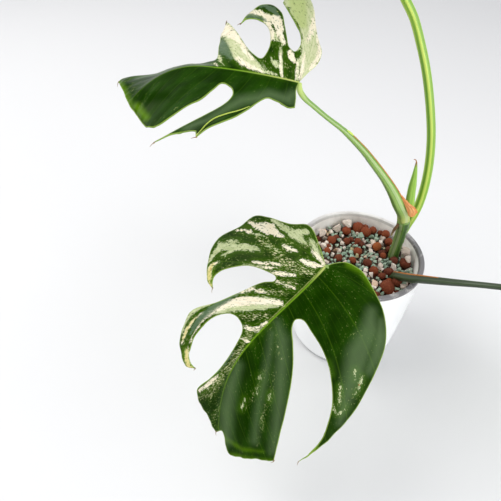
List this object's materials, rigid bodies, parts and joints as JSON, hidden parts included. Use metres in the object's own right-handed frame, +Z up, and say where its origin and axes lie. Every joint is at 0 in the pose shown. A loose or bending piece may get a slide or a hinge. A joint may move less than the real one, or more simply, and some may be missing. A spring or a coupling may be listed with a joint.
{
  "type": "potted variegated monstera plant",
  "caption": "Young split-leaf houseplant with cream-marbled leaves on long stalks, in a mineral mix inside a grey nursery pot set in a round white planter.",
  "frame": {"origin": "centre of the planter's flat base, on the surface that it stands on", "axes": "+Z up; +X towards the side with the smaller drooping leaf; -Y towards the viewer of the picture"},
  "size_m": [0.5314, 0.4095, 0.4754],
  "materials": {
    "planter": "gloss",
    "nursery_plastic": "satin",
    "mineral_mix": "matte",
    "stem": "satin",
    "stalk": "satin",
    "leaf": "gloss",
    "dry_sheath": "matte",
    "root": "matte"
  },
  "bodies": {
    "root": {"pot_outer": "planter", "nursery_pot": "nursery_plastic", "potting_mix": "mineral_mix", "stem": "stem", "petiole_a": "stalk", "petiole_b": "stalk", "petiole_c": "stalk", "petiole_d": "stalk", "leaf_a": "leaf", "leaf_b": "leaf", "leaf_c": "leaf", "leaf_d": "leaf", "new_shoot": "stalk", "dry_sheath": "dry_sheath", "aerial_root": "root"}
  },
  "joints": []
}
